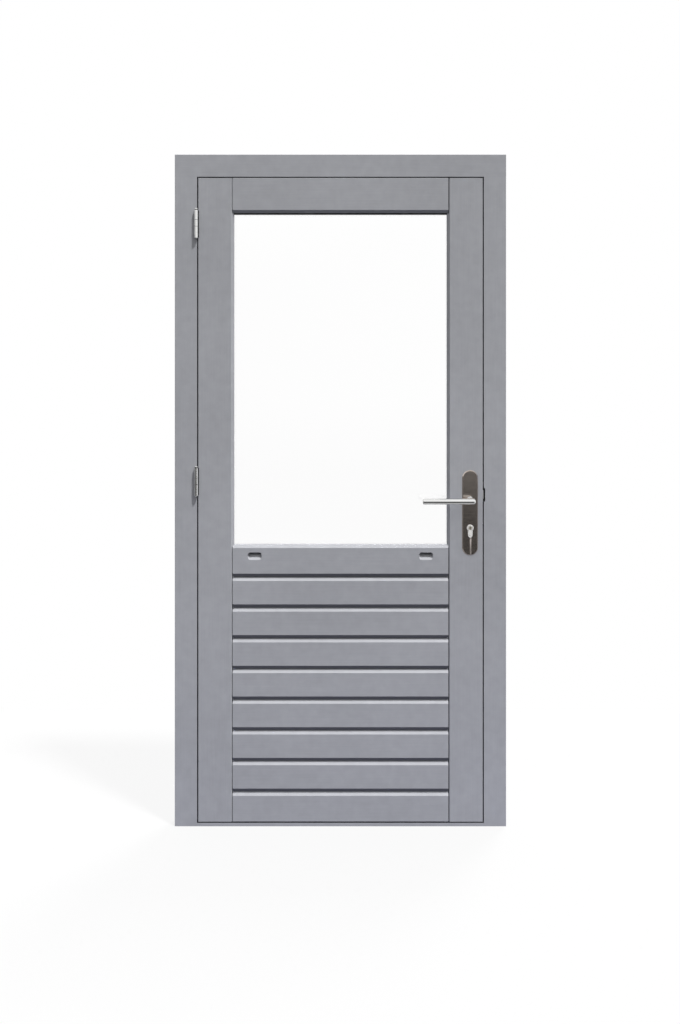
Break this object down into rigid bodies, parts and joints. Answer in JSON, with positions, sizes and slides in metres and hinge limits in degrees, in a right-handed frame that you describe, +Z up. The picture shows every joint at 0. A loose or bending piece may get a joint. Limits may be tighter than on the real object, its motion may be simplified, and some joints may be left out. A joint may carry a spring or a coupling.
{
  "type": "hardwood door with frame",
  "caption": "Grey painted hardwood door in its frame, clear upper light over horizontal boards, lever handle on a long plate, two knuckle hinges.",
  "frame": {"origin": "on the floor, at mid width of the frame, in the middle of the leaf's thickness", "axes": "+Z up, +X from the hinge side to the lock side, +Y from outside to inside; the outside faces -Y"},
  "size_m": [1.09, 0.164, 2.21],
  "materials": {
    "grey_paint": "satin grey primer paint",
    "satin_steel": "satin stainless",
    "dark_steel": "brushed stainless",
    "nickel": "satin nickel",
    "clear_glass": "clear float",
    "black_rubber": "matte black",
    "zinc_steel": "zinc plated"
  },
  "bodies": {
    "frame": {"frame_head": "grey_paint", "frame_jamb_hinge": "grey_paint", "frame_jamb_lock": "grey_paint", "frame_threshold": "grey_paint", "seal_hinge_side": "black_rubber", "seal_lock_side": "black_rubber", "seal_head": "black_rubber", "hinge_top_frame_flap": "satin_steel", "hinge_mid_frame_flap": "satin_steel", "hinge_top_pin": "satin_steel", "hinge_mid_pin": "satin_steel", "hinge_washers": "black_rubber", "hinge_screws_frame": "satin_steel", "strike_plate": "satin_steel", "strike_screws": "satin_steel"},
    "leaf": {"stile_hinge": "grey_paint", "stile_lock": "grey_paint", "rail_top": "grey_paint", "rail_mid": "grey_paint", "rail_bottom": "grey_paint", "board_1": "grey_paint", "board_2": "grey_paint", "board_3": "grey_paint", "board_4": "grey_paint", "board_5": "grey_paint", "board_6": "grey_paint", "board_7": "grey_paint", "glass_outer_pane": "clear_glass", "glass_inner_pane": "clear_glass", "glass_spacer": "black_rubber", "glazing_tape": "black_rubber", "setting_blocks": "black_rubber", "bead_top": "grey_paint", "bead_bottom": "grey_paint", "bead_hinge_side": "grey_paint", "bead_lock_side": "grey_paint", "hinge_top_leaf_flap": "satin_steel", "hinge_mid_leaf_flap": "satin_steel", "hinge_screws_leaf": "satin_steel", "lock_case": "zinc_steel", "lock_case_cover": "zinc_steel", "lock_faceplate": "satin_steel", "faceplate_screws": "satin_steel", "latch_spring": "zinc_steel", "cylinder_body": "nickel", "cylinder_screw": "satin_steel", "plate_outside": "dark_steel", "plate_inside": "dark_steel", "plate_bolts": "satin_steel"},
    "handle": {"lever_outside": "satin_steel", "knob_inside": "satin_steel", "spindle": "zinc_steel", "follower": "zinc_steel", "handle_set_screws": "satin_steel"},
    "latch": {"latch_bolt": "satin_steel"},
    "key_drive": {"plug_outside": "nickel", "plug_inside": "nickel", "cam": "zinc_steel"},
    "bolt": {"deadbolt": "satin_steel"}
  },
  "joints": [
    {"name": "door_swing", "type": "hinge", "parent": "frame", "child": "leaf", "pos_m": [-0.4735, -0.0265, 1.5575], "axis": [0, 0, -1], "range_deg": [0, 165]},
    {"name": "lever_turn", "type": "hinge", "parent": "leaf", "child": "handle", "pos_m": [0.426, 0, 1.074], "axis": [0, -1, 0], "range_deg": [0, 35], "stiffness_Nm_per_rad": 1.5, "springref_deg": -34.38},
    {"name": "latch_slide", "type": "slide", "parent": "leaf", "child": "latch", "axis": [-1, 0, 0], "range_m": [0, 0.0085], "deforming": ["latch_spring"]},
    {"name": "key_turn", "type": "hinge", "parent": "leaf", "child": "key_drive", "pos_m": [0.426, 0, 0.982], "axis": [0, 1, 0], "range_deg": [0, 361]},
    {"name": "bolt_slide", "type": "slide", "parent": "leaf", "child": "bolt", "axis": [1, 0, 0], "range_m": [0, 0.02]}
  ],
  "couplings": [
    {"joint": "latch_slide", "follows": "lever_turn", "m_per_rad": 0.013783},
    {"joint": "key_turn", "follows": "bolt_slide", "rad_per_m": 314.16}
  ]
}
